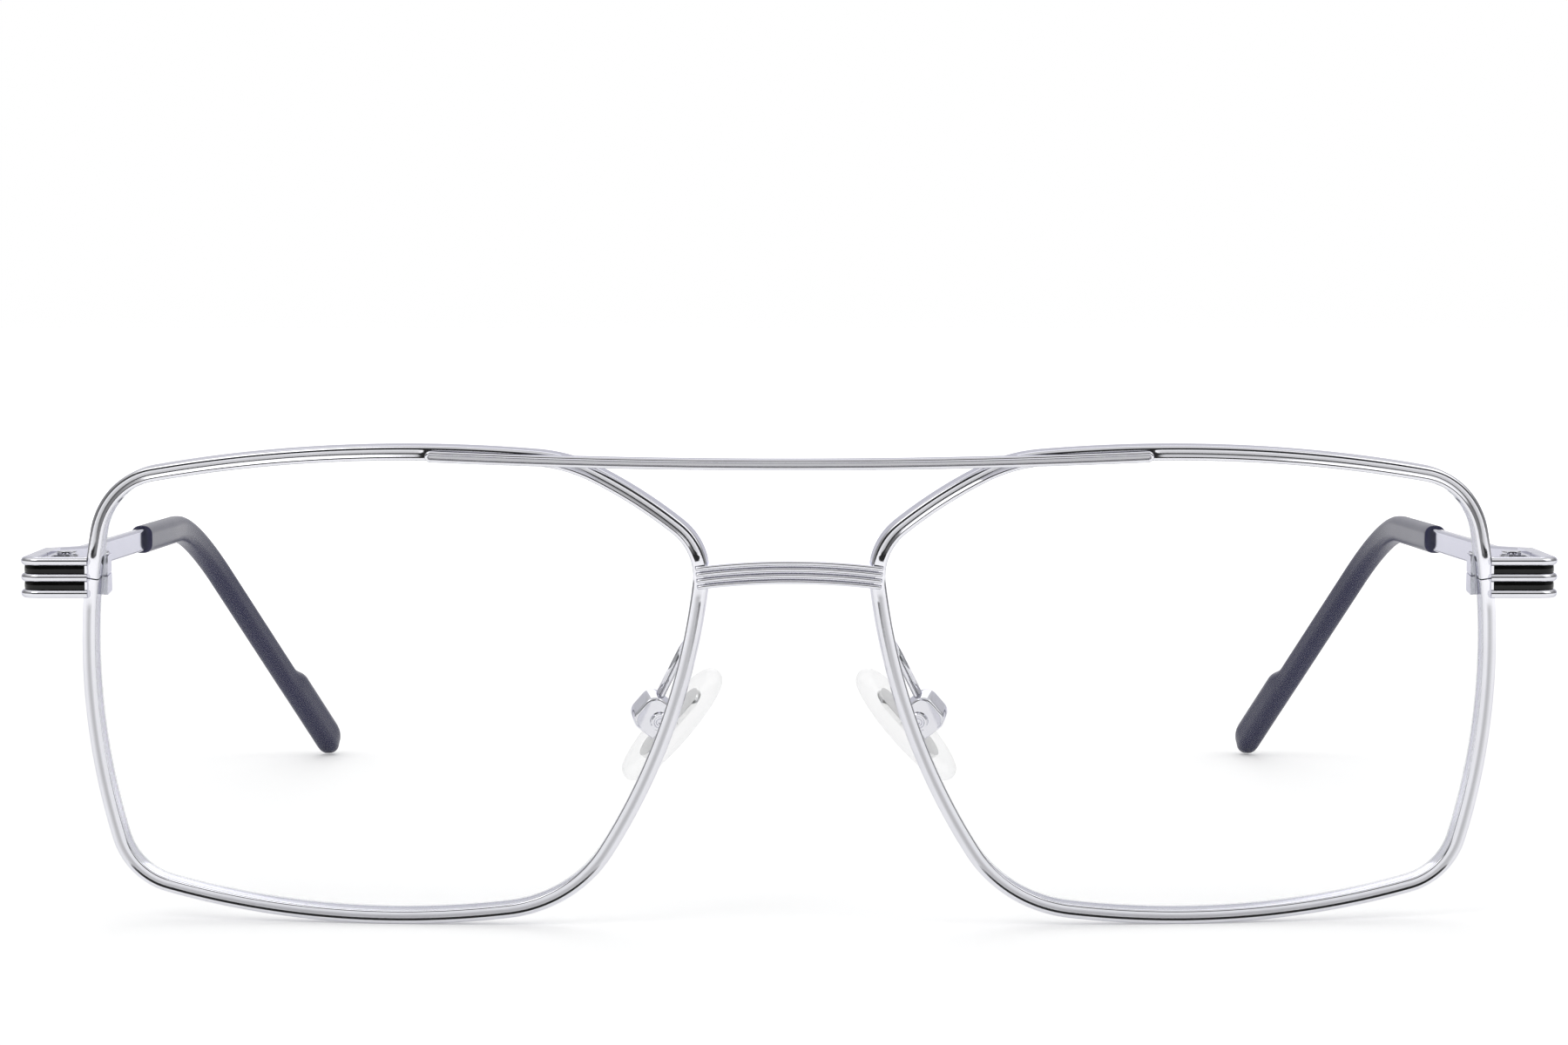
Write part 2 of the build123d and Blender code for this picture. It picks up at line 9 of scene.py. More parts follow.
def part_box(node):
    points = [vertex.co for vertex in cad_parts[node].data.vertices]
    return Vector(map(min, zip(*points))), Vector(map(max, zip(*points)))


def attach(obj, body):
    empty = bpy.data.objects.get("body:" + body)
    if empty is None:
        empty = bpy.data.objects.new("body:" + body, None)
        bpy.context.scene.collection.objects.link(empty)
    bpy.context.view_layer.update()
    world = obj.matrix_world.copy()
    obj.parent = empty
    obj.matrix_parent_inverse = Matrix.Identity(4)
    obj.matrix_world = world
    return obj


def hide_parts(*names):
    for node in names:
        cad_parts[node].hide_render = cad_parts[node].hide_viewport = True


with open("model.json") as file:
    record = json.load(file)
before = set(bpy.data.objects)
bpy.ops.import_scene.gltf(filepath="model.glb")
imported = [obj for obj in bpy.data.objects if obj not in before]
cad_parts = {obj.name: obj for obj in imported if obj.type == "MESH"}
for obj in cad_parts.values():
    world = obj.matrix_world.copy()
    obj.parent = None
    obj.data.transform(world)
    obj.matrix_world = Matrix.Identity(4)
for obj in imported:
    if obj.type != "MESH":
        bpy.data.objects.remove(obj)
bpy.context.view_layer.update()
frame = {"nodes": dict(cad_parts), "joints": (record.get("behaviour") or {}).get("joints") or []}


# Eye wires. Each is drawn nickel silver wire with a channel rolled along its
# front, bent round the lens, sawn through at the temple side to let the lens in,
# and plated. The channel stops where the bars and the end piece are soldered on.

# A millimetre in metres. The sizes of all pieces are in millimetres.
MM = 0.001
LENS_WIDTH = 59
LENS_HEIGHT = 45
BASE_CURVE = 125
WRAP = radians(5)
TILT = radians(5)
FRONT_TURN = Matrix.Rotation(TILT, 4, "X") @ Matrix.Rotation(WRAP, 4, "Z")
RIM_WIDTH = 1.4
RIM_DEPTH = 2.2
RIM_BACK_ROUNDING = 0.38
RIM_FRONT_ROUNDING = 0.24
RIM_STEP = 0.45
CHANNEL_WIDTH = 0.66
CHANNEL_DEPTH = 0.17
CHANNEL_LIP = 0.1
CHANNEL_FLOOR_ROUNDING = 0.3
CHANNEL_END = 0.35
SAW_CUT = 0.12
JOINT_HEIGHT = 9.9
# Corners of the lens shape and a point on each side, as shares of half its width
# and height, and the corners' radii. Plus is towards the temple.
CORNER_SHARES = [(0.949, 0.849), (-0.563, 0.976), (-1.005, 0.596), (-0.569, -0.924), (0.893, -0.858)]
SIDE_SHARES = [(0.169, 0.999), (-0.793, 0.816), (-0.891, -0.151), (0.102, -0.996), (1.010, 0.044)]
CORNER_RADII = [7, 15, 6, 13, 6.2]
# Stretches with no channel, as middle x, middle height, half width and half height
SOLDERED = [(28.5, JOINT_HEIGHT, 6, 2.5), (-28, 11.1, 4, 1.75), (-3.6, 22, 0.55, 3)]
# Points nearer together than this are one
MERGE = 0.0005
# Edges that turn more than this are sharp
SHARP_ANGLE = radians(50)

SILVER_THIN = (0.71, 0.71, 0.75, 1)
SILVER_THICK = (0.81, 0.81, 0.85, 1)
SILVER_EDGE = (0.62, 0.62, 0.68, 1)
# Colour painted into the rolled channels as shade, darker than the plating
CHANNEL_PAINTED_SHADE = (0.4, 0.4, 0.42, 1)
SILVER_ROUGHNESS = 0.06
CLOUD_ROUGHNESS = 0.05
CHANNEL_ROUGHNESS = 0.12
# Noise as its scale, in cells to the metre, and detail. Bumps as strength and metres.
SILVER_CLOUD = 260, 3
SILVER_GRAIN = 5200, 2
SILVER_BUMPS = 0.04, 0.00002


def rounded(corners, radii, steps=4):
    """Outline through the corners, each rounded by an arc. A radius of 0 leaves a corner as it is."""
    corners = [Vector(corner) for corner in corners]
    loop = []
    for i, (corner, radius) in enumerate(zip(corners, radii)):
        if not radius:
            loop.append(corner)
            continue
        back = (corners[i - 1] - corner).normalized()
        onward = (corners[(i + 1) % len(corners)] - corner).normalized()
        half = back.angle(onward) / 2
        middle = corner + (back + onward).normalized() * radius / sin(half)
        start = (corner + back * radius / tan(half) - middle).normalized()
        end = (corner + onward * radius / tan(half) - middle).normalized()
        loop += [middle + start.slerp(end, step / steps).normalized() * radius for step in range(steps + 1)]
    return loop


def circle_through(a, b, c):
    """Centre and radius of the circle through three points."""
    ab, ac = b - a, c - a
    twice = 2 * (ab.x * ac.y - ab.y * ac.x)
    x = (ac.y * ab.length_squared - ab.y * ac.length_squared) / twice
    y = (ab.x * ac.length_squared - ac.x * ab.length_squared) / twice
    return a + Vector((x, y)), Vector((x, y)).length


def lens_arcs(start_height, cut=0):
    """Arcs round the lens shape as (centre, start, end), from a height on the temple side."""
    half = Vector((LENS_WIDTH / 2, LENS_HEIGHT / 2))
    corners = [Vector((x * half.x, z * half.y)) for x, z in CORNER_SHARES]
    middles = [Vector((x * half.x, z * half.y)) for x, z in SIDE_SHARES]
    count = len(corners)
    rounds = [circle_through(corners[i], middles[i], corners[(i + 1) % count]) for i in range(count)]
    bends = []
    for i, radius in enumerate(CORNER_RADII):
        (one, one_radius), (two, two_radius) = rounds[i - 1], rounds[i]
        near, far = one_radius - radius, two_radius - radius
        apart = (two - one).length
        along = (near ** 2 - far ** 2 + apart ** 2) / (2 * apart)
        way = (two - one).normalized()
        side = Vector((-way.y, way.x)) * sqrt(near ** 2 - along ** 2)
        choices = (one + way * along + side, one + way * along - side)
        middle = min(choices, key=lambda choice: (choice - corners[i]).length)
        touch_one = one + (middle - one) * one_radius / near
        touch_two = two + (middle - two) * two_radius / far
        bends.append((middle, touch_one, touch_two))
    last, last_radius = rounds[-1]
    ends = []
    for height in (start_height + cut / 2, start_height - cut / 2):
        ends.append(Vector((last.x + sqrt(last_radius ** 2 - (height - last.y) ** 2), height)))
    arcs = [(last, ends[0], bends[0][1])]
    for i in range(count):
        arcs.append(bends[i])
        if i + 1 < count:
            arcs.append((rounds[i][0], bends[i][2], bends[i + 1][1]))
    return arcs + [(last, bends[-1][2], ends[1])]


def draw_section(bm, points, place, closed=True):
    """Line of edges through points (x, y), put in place."""
    verts = [bm.verts.new(place @ Vector((x, y, 0))) for x, y in points]
    first = 0 if closed else 1
    return verts + [bm.edges.new((verts[i - 1], verts[i])) for i in range(first, len(verts))]


def sweep(bm, section, centre, axis, angle, steps):
    """Carry a section round an axis, and give its far end."""
    return bmesh.ops.spin(bm, geom=section, cent=centre, axis=axis, angle=angle, steps=steps,
                          use_merge=False)["geom_last"]


def bend_round_lens(bm, section, step, cut=0):
    """Bend a section round the lens shape, once round."""
    for centre, start, end in lens_arcs(JOINT_HEIGHT, cut):
        one, two = start - centre, end - centre
        angle = atan2(one.x * two.y - one.y * two.x, one.dot(two))
        steps = max(2, ceil(angle * one.length / step))
        section = sweep(bm, section, (centre.x, 0, centre.y), (0, -1, 0), angle, steps)
    return section


def curve_to_base(bm):
    """Bend a flat front on to the base curve."""
    for vert in bm.verts:
        x, y, z = vert.co
        vert.co.y = BASE_CURVE - sqrt((BASE_CURVE - y) ** 2 - x * x - z * z)


def section_place(cut=0):
    """Where a rim's section starts, its x outwards and its y to the back."""
    centre, start, _ = lens_arcs(JOINT_HEIGHT, cut)[0]
    out = (start - centre).normalized()
    return Matrix(((out.x, 0, -out.y, start.x), (0, 1, 0, 0), (out.y, 0, out.x, start.y), (0, 0, 0, 1)))


def ease(value):
    """Smooth step from 0 to 1."""
    value = min(1, max(0, value))
    return value * value * (3 - 2 * value)


def add_piece(name, bm, material, slot, body, node, seated=True, sharp_angle=SHARP_ANGLE):
    """Make a mesh in millimetres a piece that stands for a CAD node, and seat it in the node's box."""
    bmesh.ops.remove_doubles(bm, verts=bm.verts, dist=MERGE)
    bmesh.ops.scale(bm, vec=(MM, MM, MM), verts=bm.verts)
    if seated:
        low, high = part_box(node)
        corners = [[pick(v.co[i] for v in bm.verts) for i in range(3)] for pick in (min, max)]
        middle = (Vector(corners[0]) + Vector(corners[1])) / 2
        bmesh.ops.translate(bm, vec=(low + high) / 2 - middle, verts=bm.verts)
    mesh = bpy.data.meshes.new(name)
    bm.to_mesh(mesh)
    bm.free()
    mesh.polygons.foreach_set("use_smooth", [True] * len(mesh.polygons))
    mesh.set_sharp_from_angle(angle=sharp_angle)
    piece = bpy.data.objects.new(name, mesh)
    bpy.context.scene.collection.objects.link(piece)
    mesh.materials.append(material)
    piece.modifiers.new("flat_faces_stay_flat", "WEIGHTED_NORMAL").keep_sharp = True
    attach(piece, body)
    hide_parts(node)


def add_pair(name, bm, material, slot, body, node, **options):
    """The left piece as modelled, and its mirror image on the right."""
    mirrored = bm.copy()
    bmesh.ops.scale(mirrored, vec=(-1, 1, 1), verts=mirrored.verts)
    bmesh.ops.reverse_faces(mirrored, faces=mirrored.faces)
    for side, half in (("left", bm), ("right", mirrored)):
        own_body = body.format(side=side)
        add_piece(f"{side}_{name}", half, material, slot, own_body, f"{side}_{node}", **options)


class Value:
    """A shader socket. Sums on it add Math nodes, and node() adds any other node."""

    def __init__(self, tree, socket=None):
        self.tree = tree
        self.socket = socket

    def node(self, kind, sockets, output=0, stops=(), **settings):
        made = self.tree.nodes.new("ShaderNode" + kind)
        for name, value in settings.items():
            setattr(made, name, value)
        for i, (place, shade) in enumerate(stops):
            elements = made.color_ramp.elements
            element = elements[i] if i < 2 else elements.new(place)
            element.position = place
            element.color = (shade, shade, shade, 1)
        for name, value in sockets.items():
            if isinstance(value, Value):
                self.tree.links.new(value.socket, made.inputs[name])
            else:
                made.inputs[name].default_value = value
        return Value(self.tree, made.outputs[output])

    def maths(self, operation, one, two):
        return self.node("Math", {0: one, 1: two}, operation=operation)

    def __add__(self, other):
        return self.maths("ADD", self, other)

    def __mul__(self, other):
        return self.maths("MULTIPLY", self, other)

    def __rsub__(self, other):
        return self.maths("SUBTRACT", other, self)

    __radd__ = __add__
    __rmul__ = __mul__


def noise(place, scale, detail):
    """Noise over the places on a piece."""
    return place.node("TexNoise", {"Vector": place, "Scale": scale, "Detail": detail})


def bumps(height, strength, distance):
    """Normals bent by a height."""
    return height.node("Bump", {"Strength": strength, "Distance": distance, "Height": height})


def passing(value, first, last):
    """0 up to the first value, 1 from the last one on, and even between."""
    return value.node("MapRange", {"Value": value, "From Min": first, "From Max": last})


def mixed(share, one, two):
    """Colour between one and two."""
    return share.node("Mix", {0: share, 6: one, 7: two}, output=2, data_type="RGBA")


def make_material(name, dress):
    """Material with the sockets that dress gives, from a start for nodes and the place on the piece."""
    material = bpy.data.materials.new(name)
    material.use_nodes = True
    tree = material.node_tree
    surface = tree.nodes["Principled BSDF"]
    start = Value(tree)
    for socket, value in dress(start, start.node("TexCoord", {}, output="Object")).items():
        if isinstance(value, Value):
            tree.links.new(value.socket, surface.inputs[socket])
        else:
            surface.inputs[socket].default_value = value
    return material


def dress_silver(start, place):
    """Bright plating with faint polishing marks, duller down in the rolled channels, whose colour is
    painted darker there as shade.
    """
    cloud = noise(place, *SILVER_CLOUD)
    rolled = start.node("Attribute", {}, output="Fac", attribute_name="channel")
    depth = passing(rolled, 0, CHANNEL_DEPTH)
    # Painted shade: the colour darkens to the channel's painted shade as the channel deepens
    shade = mixed(depth, mixed(cloud, SILVER_THIN, SILVER_THICK), CHANNEL_PAINTED_SHADE)
    roughness = SILVER_ROUGHNESS + CLOUD_ROUGHNESS * cloud + CHANNEL_ROUGHNESS * depth
    return {"Base Color": shade, "Metallic": 1, "Roughness": roughness, "Specular Tint": SILVER_EDGE,
            "Normal": bumps(noise(place, *SILVER_GRAIN), *SILVER_BUMPS)}


silver = make_material("silver_plate", dress_silver)

half_width = RIM_WIDTH / 2
half_depth = RIM_DEPTH / 2
half_channel = CHANNEL_WIDTH / 2
wire = rounded(
    [(half_width, -half_depth), (half_width, half_depth), (-half_width, half_depth),
     (-half_width, -half_depth), (-half_channel, -half_depth), (0, CHANNEL_DEPTH - half_depth),
     (half_channel, -half_depth)],
    [RIM_FRONT_ROUNDING, RIM_BACK_ROUNDING, RIM_BACK_ROUNDING, RIM_FRONT_ROUNDING,
     CHANNEL_LIP, CHANNEL_FLOOR_ROUNDING, CHANNEL_LIP],
)
bm = bmesh.new()
# Depth into the channel at each point; it shapes the channel where it stops, and paints shade into the
# silver's colour there
channel = bm.verts.layers.float.new("channel")
place = section_place(SAW_CUT)
section = draw_section(bm, wire, place)
for vert in section[:len(wire)]:
    across = (vert.co - place.translation).xz.length
    if vert.co.y < 0 and across < half_channel + CHANNEL_LIP:
        vert[channel] = vert.co.y + half_depth
bmesh.ops.contextual_create(bm, geom=section)
last = bend_round_lens(bm, section, RIM_STEP, SAW_CUT)
bmesh.ops.contextual_create(bm, geom=last)
for vert in bm.verts:
    x, z = vert.co.x, vert.co.z
    for middle_x, middle_z, reach_x, reach_z in SOLDERED:
        beyond = max(abs(x - middle_x) - reach_x, abs(z - middle_z) - reach_z)
        kept = vert[channel] * ease(beyond / CHANNEL_END)
        vert.co.y -= vert[channel] - kept
        vert[channel] = kept
curve_to_base(bm)
bmesh.ops.recalc_face_normals(bm, faces=bm.faces)
bmesh.ops.transform(bm, matrix=FRONT_TURN, verts=bm.verts)
add_pair("rim_wire", bm, silver, "polished_metal", "front", "rim")


# Lenses. Each is a thin clear plastic lens, cut to the wire's shape with a raised
# rib round its edge that snaps into the groove inside the eye wire.
LENS_THICKNESS = 1.8
LENS_PLATE = -0.73
LENS_RIB = -0.3
LENS_RIB_THICKNESS = 0.8
LENS_ROUNDING = 0.12
LENS_FLAT = -3
LENS_STEP = 1.1
LENS_RINGS = (0.82, 0.62, 0.42, 0.22)
# Points at a swept piece's seam are one when nearer together than this
SEAM_MERGE = 0.001

LENS_TONE = (0.86, 0.89, 0.9, 1)
LENS_IOR = 1.5
LENS_ALPHA = 0.005
LENS_SLANT_ALPHA = 0.4
LENS_ROUGHNESS = 0.01
SMEAR_ROUGHNESS = 0.02
SMEAR = 60, 2


def verts_of(made):
    """The vertices among what an operator made."""
    return [item for item in made if isinstance(item, bmesh.types.BMVert)]


def dress_lens(start, place):
    """Clear plastic: see-through head on, with more shine at a slant."""
    slant = start.node("Fresnel", {"IOR": LENS_IOR})
    return {"Base Color": LENS_TONE, "Roughness": LENS_ROUGHNESS + SMEAR_ROUGHNESS * noise(place, *SMEAR),
            "Alpha": LENS_ALPHA + LENS_SLANT_ALPHA * slant, "IOR": LENS_IOR}


clear_lens = make_material("clear_lens_plastic", dress_lens)
clear_lens.surface_render_method = "BLENDED"
half_plate = LENS_THICKNESS / 2
half_rib = LENS_RIB_THICKNESS / 2
edge = rounded(
    [(LENS_FLAT, -half_plate), (LENS_PLATE, -half_plate), (LENS_PLATE, -half_rib), (LENS_RIB, -half_rib),
     (LENS_RIB, half_rib), (LENS_PLATE, half_rib), (LENS_PLATE, half_plate), (LENS_FLAT, half_plate)],
    [0, LENS_ROUNDING, 0, LENS_ROUNDING, LENS_ROUNDING, 0, LENS_ROUNDING, 0], steps=2,
)
bm = bmesh.new()
section = draw_section(bm, edge, section_place(), closed=False)
bend_round_lens(bm, section, LENS_STEP)
bmesh.ops.remove_doubles(bm, verts=bm.verts, dist=SEAM_MERGE)
for side in (-1, 1):
    ring = [e for e in bm.edges if e.is_boundary and side * e.verts[0].co.y > 0]
    reach = 1
    for share in LENS_RINGS:
        made = bmesh.ops.extrude_edge_only(bm, edges=ring)["geom"]
        ring = [item for item in made if isinstance(item, bmesh.types.BMEdge) and item.is_boundary]
        bmesh.ops.scale(bm, vec=(share / reach, 1, share / reach), verts=verts_of(made))
        reach = share
    middle = bmesh.ops.contextual_create(bm, geom=ring)["faces"]
    bmesh.ops.poke(bm, faces=middle)
curve_to_base(bm)
bmesh.ops.recalc_face_normals(bm, faces=bm.faces)
bmesh.ops.transform(bm, matrix=FRONT_TURN, verts=bm.verts)
add_pair("clear_lens", bm, clear_lens, "clear_lens", "front", "lens")


# Brow bar. The second bridge is a straight length of flat wire with round ends and
# a channel rolled along its front, soldered across the fronts of both eye wires.
BAR_LENGTH = 68.8
BAR_HEIGHT = 1.05
BAR_DEPTH = 1.2
BAR_SAG = 0.75
BAR_BOW = 0.25
BAR_FRONT_ROUNDING = 0.2
BAR_BACK_ROUNDING = 0.28
BAR_CHANNEL = 0.5
BAR_CHANNEL_DEPTH = 0.14
BAR_CHANNEL_SLOPE = 0.08
BAR_CHANNEL_ROUNDING = 0.1
BAR_CHANNEL_LIP = 0.04
BAR_STEPS = 56
BAR_END_STEPS = 14


def run_on(bm, section, step, steps=1):
    """Carry a section straight on by one or more steps, and give its far end."""
    return bmesh.ops.spin(bm, geom=section, axis=(0, 0, 1), dvec=step, angle=0, steps=steps,
                          use_merge=False)["geom_last"]


half_bar = BAR_HEIGHT / 2
half_line = BAR_CHANNEL / 2
channel_floor = BAR_CHANNEL_DEPTH - BAR_DEPTH
bar_run = BAR_LENGTH - BAR_HEIGHT
half_profile = rounded(
    [(0, channel_floor), (half_line - BAR_CHANNEL_SLOPE, channel_floor), (half_line, -BAR_DEPTH),
     (half_bar, -BAR_DEPTH), (half_bar, 0), (0, 0)],
    [0, BAR_CHANNEL_ROUNDING, BAR_CHANNEL_LIP, BAR_FRONT_ROUNDING, BAR_BACK_ROUNDING, 0],
)
right_end = Matrix(((0, 0, 1, bar_run / 2), (0, 1, 0, 0), (-1, 0, 0, 0), (0, 0, 0, 1)))
bm = bmesh.new()
# Depth into the channel at each point, which makes the silver duller there and paints shade into its colour
channel = bm.verts.layers.float.new("channel")
section = draw_section(bm, half_profile, right_end, closed=False)
for vert in section[:len(half_profile)]:
    if abs(vert.co.z) < half_line and vert.co.y < -BAR_DEPTH / 2:
        vert[channel] = vert.co.y + BAR_DEPTH
for side in (1, -1):
    section = sweep(bm, section, (side * bar_run / 2, 0, 0), (0, -1, 0), pi, BAR_END_STEPS)
    section = run_on(bm, section, (-side * bar_run / BAR_STEPS, 0, 0), BAR_STEPS)
bmesh.ops.remove_doubles(bm, verts=bm.verts, dist=SEAM_MERGE)
for vert in bm.verts:
    middle = 1 - (2 * vert.co.x / BAR_LENGTH) ** 2
    vert.co.z -= BAR_SAG * middle
    vert.co.y -= BAR_BOW * middle
bmesh.ops.recalc_face_normals(bm, faces=bm.faces)
bmesh.ops.rotate(bm, matrix=Matrix.Rotation(TILT, 3, "X"), verts=bm.verts)
add_piece("brow_bar", bm, silver, "polished_metal", "front", "top_bar")


# Nose bridge. It is a short bar, milled with four rounded ridges along its front,
# arched, and soldered on to the fronts of the eye wires above the nose.
BRIDGE_REACH = 8.8
BRIDGE_RISE = 0.55
BRIDGE_HEIGHT = 2.4
BRIDGE_DEPTH = 1.9
BRIDGE_RIDGES = 4
BRIDGE_BULGE = 0.14
BRIDGE_GROOVE = 0.2
BRIDGE_GROOVE_DEPTH = 0.4
BRIDGE_ROUNDING = 0.35
BRIDGE_END_BREAK = 0.18
BRIDGE_STEPS = 28


def ridge(low, high, base, bulge, steps=6):
    """Points of a rounded ridge between two heights, as (depth, height)."""
    ends = Vector((base, low)), Vector((base, high))
    centre, radius = circle_through(ends[0], Vector((base + bulge, (low + high) / 2)), ends[1])
    start, end = [(point - centre).normalized() for point in ends]
    return [centre + start.slerp(end, step / steps).normalized() * radius for step in range(steps + 1)]


def edges_of(faces):
    """The edges round the faces."""
    return [e for face in faces for e in face.edges]


def round_off(bm, edges, size, segments=2):
    """Round the edges off."""
    bmesh.ops.bevel(bm, geom=edges, offset=size, offset_type="OFFSET", affect="EDGES", segments=segments,
                    profile=0.5, material=-1, clamp_overlap=True)


pitch = BRIDGE_HEIGHT / BRIDGE_RIDGES
half_height = BRIDGE_HEIGHT / 2
half_groove = BRIDGE_GROOVE / 2
shoulder = BRIDGE_DEPTH - BRIDGE_BULGE
back = rounded(
    [(BRIDGE_DEPTH, half_height), (0, half_height), (0, -half_height), (BRIDGE_DEPTH, -half_height)],
    [0, BRIDGE_ROUNDING, BRIDGE_ROUNDING, 0],
)[1:-1]
ridges = []
for i in range(BRIDGE_RIDGES):
    low = pitch * i - half_height
    if i:
        foot = shoulder - BRIDGE_GROOVE_DEPTH
        ridges += [Vector((foot, low - half_groove)), Vector((foot, low + half_groove))]
    ridges += ridge(low + half_groove, low + pitch - half_groove, shoulder, BRIDGE_BULGE)
radius = (BRIDGE_REACH ** 2 + BRIDGE_RISE ** 2) / (2 * BRIDGE_RISE)
swing = 2 * asin(BRIDGE_REACH / radius)
standing = Matrix(((0, 0, -1, 0), (-1, 0, 0, 0), (0, 1, 0, 0), (0, 0, 0, 1)))
bm = bmesh.new()
section = draw_section(bm, back + ridges, standing)
bmesh.ops.rotate(bm, cent=(0, 0, -radius), matrix=Matrix.Rotation(-swing / 2, 3, "Y"), verts=bm.verts)
ends = bmesh.ops.contextual_create(bm, geom=section)["faces"]
last = sweep(bm, section, (0, 0, -radius), (0, 1, 0), swing, BRIDGE_STEPS)
ends += bmesh.ops.contextual_create(bm, geom=last)["faces"]
end_edges = edges_of(ends)
bmesh.ops.recalc_face_normals(bm, faces=bm.faces)
round_off(bm, end_edges, BRIDGE_END_BREAK)
bmesh.ops.rotate(bm, matrix=Matrix.Rotation(TILT, 3, "X"), verts=bm.verts)
add_piece("nose_bridge", bm, silver, "polished_metal", "front", "bridge")


# End pieces. Each is milled with three rounded ridges and two slots, bent round the
# corner to the temple and soldered to the eye wire. Black enamel fills the slots,
# which start beside the eye wire, behind a narrow land.
RIDGE_HEIGHT = 0.8
STRIPE_HEIGHT = 0.76
RIDGE_BULGE = 0.3
END_THICKNESS = 1.7
END_CORNER = 2.0
END_ROUNDING = 0.12
CORNER_STEPS = 14
SLOT_DEPTH = 0.35
SLOT_WALL = 0.06
SLOT_LONGER = 0.3
LAND_RISE = 0.06
ENAMEL_DEPTH = 0.29
ENAMEL_CROWN = 0.05
ENAMEL_FIT = 0.01

# Shades as stops of a ramp: how far along, and how light
ENAMEL_SHADES = [(0.3, 0.003), (0.8, 0.007)]
ENAMEL_ROUGHNESS = 0.08
WAVE_ROUGHNESS = 0.05
ENAMEL_SHINE = 0.28
ENAMEL_WAVE = 900, 1
ENAMEL_BUMPS = 0.05, 0.00003


def dress_enamel(start, place):
    """Glossy black enamel, poured into the slots and faintly uneven."""
    wave = noise(place, *ENAMEL_WAVE)
    return {"Base Color": start.node("ValToRGB", {"Fac": wave}, stops=ENAMEL_SHADES),
            "Roughness": ENAMEL_ROUGHNESS + WAVE_ROUGHNESS * wave,
            "Specular IOR Level": ENAMEL_SHINE, "Normal": bumps(wave, *ENAMEL_BUMPS)}


enamel = make_material("black_enamel", dress_enamel)
stripe_pitch = RIDGE_HEIGHT + STRIPE_HEIGHT
half_ridge = RIDGE_HEIGHT / 2
half_stripe = STRIPE_HEIGHT / 2 - ENAMEL_FIT
flat = END_THICKNESS - RIDGE_BULGE
slot_floor = flat - SLOT_DEPTH
half_end = stripe_pitch + half_ridge
end_low, end_high = [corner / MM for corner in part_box("left_endpiece")]
end_middle = (end_low.z + end_high.z) / 2
end_back = end_low.y + END_THICKNESS
slot_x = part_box("left_endpiece_inlay")[0].x / MM - SLOT_LONGER
upright = Matrix(((0, 0, -1, end_low.x), (-1, 0, 0, end_back), (0, 1, 0, end_middle), (0, 0, 0, 1)))


def turn_the_corner(bm, section, stops):
    """Run a section along the stops in x, round the end piece's corner, and back to the hinge."""
    corner_x = end_high.x - END_CORNER
    here = stops[0]
    for stop in [*stops[1:], corner_x]:
        section = run_on(bm, section, (stop - here, 0, 0))
        here = stop
    section = sweep(bm, section, (corner_x, end_low.y + END_CORNER, 0), (0, 0, 1), pi / 2, CORNER_STEPS)
    return run_on(bm, section, (0, end_high.y - end_low.y - END_CORNER, 0))


outline = rounded([(flat, half_end), (0, half_end), (0, -half_end), (flat, -half_end)],
                  [0, END_ROUNDING, END_ROUNDING, 0])
lands = []
for i in (-1, 0, 1):
    low, high = i * stripe_pitch - half_ridge, i * stripe_pitch + half_ridge
    outline += ridge(low, high, flat, RIDGE_BULGE)
    if i < 1:
        lands += [len(outline), len(outline) + 1]
        outline += [Vector((slot_floor, high)), Vector((slot_floor, high + STRIPE_HEIGHT))]
bm = bmesh.new()
land = bm.verts.layers.float.new("land")
section = draw_section(bm, outline, upright)
for i in lands:
    section[i][land] = SLOT_DEPTH + LAND_RISE
bmesh.ops.contextual_create(bm, geom=section)
last = turn_the_corner(bm, section, [end_low.x, slot_x - SLOT_WALL, slot_x])
bmesh.ops.contextual_create(bm, geom=last)
for vert in bm.verts:
    if vert.co.x < slot_x - SLOT_WALL / 2 and vert.co.y < end_back:
        vert.co.y -= vert[land]
bmesh.ops.recalc_face_normals(bm, faces=bm.faces)
add_pair("end_piece", bm, silver, "polished_metal", "front", "endpiece", seated=False)

bm = bmesh.new()
slot_start = Matrix.Translation((slot_x - end_low.x, 0, 0)) @ upright
for i in (-1, 1):
    low, high = i * stripe_pitch / 2 - half_stripe, i * stripe_pitch / 2 + half_stripe
    bead = [Vector((slot_floor, high)), Vector((slot_floor, low))]
    bead += ridge(low, high, slot_floor + ENAMEL_DEPTH, ENAMEL_CROWN, steps=8)
    section = draw_section(bm, bead, slot_start)
    bmesh.ops.contextual_create(bm, geom=section)
    bmesh.ops.contextual_create(bm, geom=turn_the_corner(bm, section, [slot_x]))
bmesh.ops.recalc_face_normals(bm, faces=bm.faces)
add_pair("end_piece_enamel", bm, enamel, "black_enamel", "front", "endpiece_inlay", seated=False)


# Small turned and milled metal parts, each in the CAD's own shape with its sharp
# edges broken: closing blocks, hinge leaves, their screws, pad arms and the pads'
# cores, and the temples with their enamel. Each is screwed or soldered in place.
FLAT_ANGLE = radians(1)
BREAK_ANGLE = radians(38)

STEEL_SHADES = [(0.3, 0.78), (0.7, 0.86)]
STEEL_ROUGHNESS = 0.16
GROUND_ROUGHNESS = 0.08
STEEL_GRAIN = 2400, 2


def dress_steel(start, place):
    """Plain steel plate, finely ground."""
    grain = noise(place, *STEEL_GRAIN)
    return {"Base Color": start.node("ValToRGB", {"Fac": grain}, stops=STEEL_SHADES), "Metallic": 1,
            "Roughness": STEEL_ROUGHNESS + GROUND_ROUGHNESS * grain}


steel = make_material("ground_steel", dress_steel)


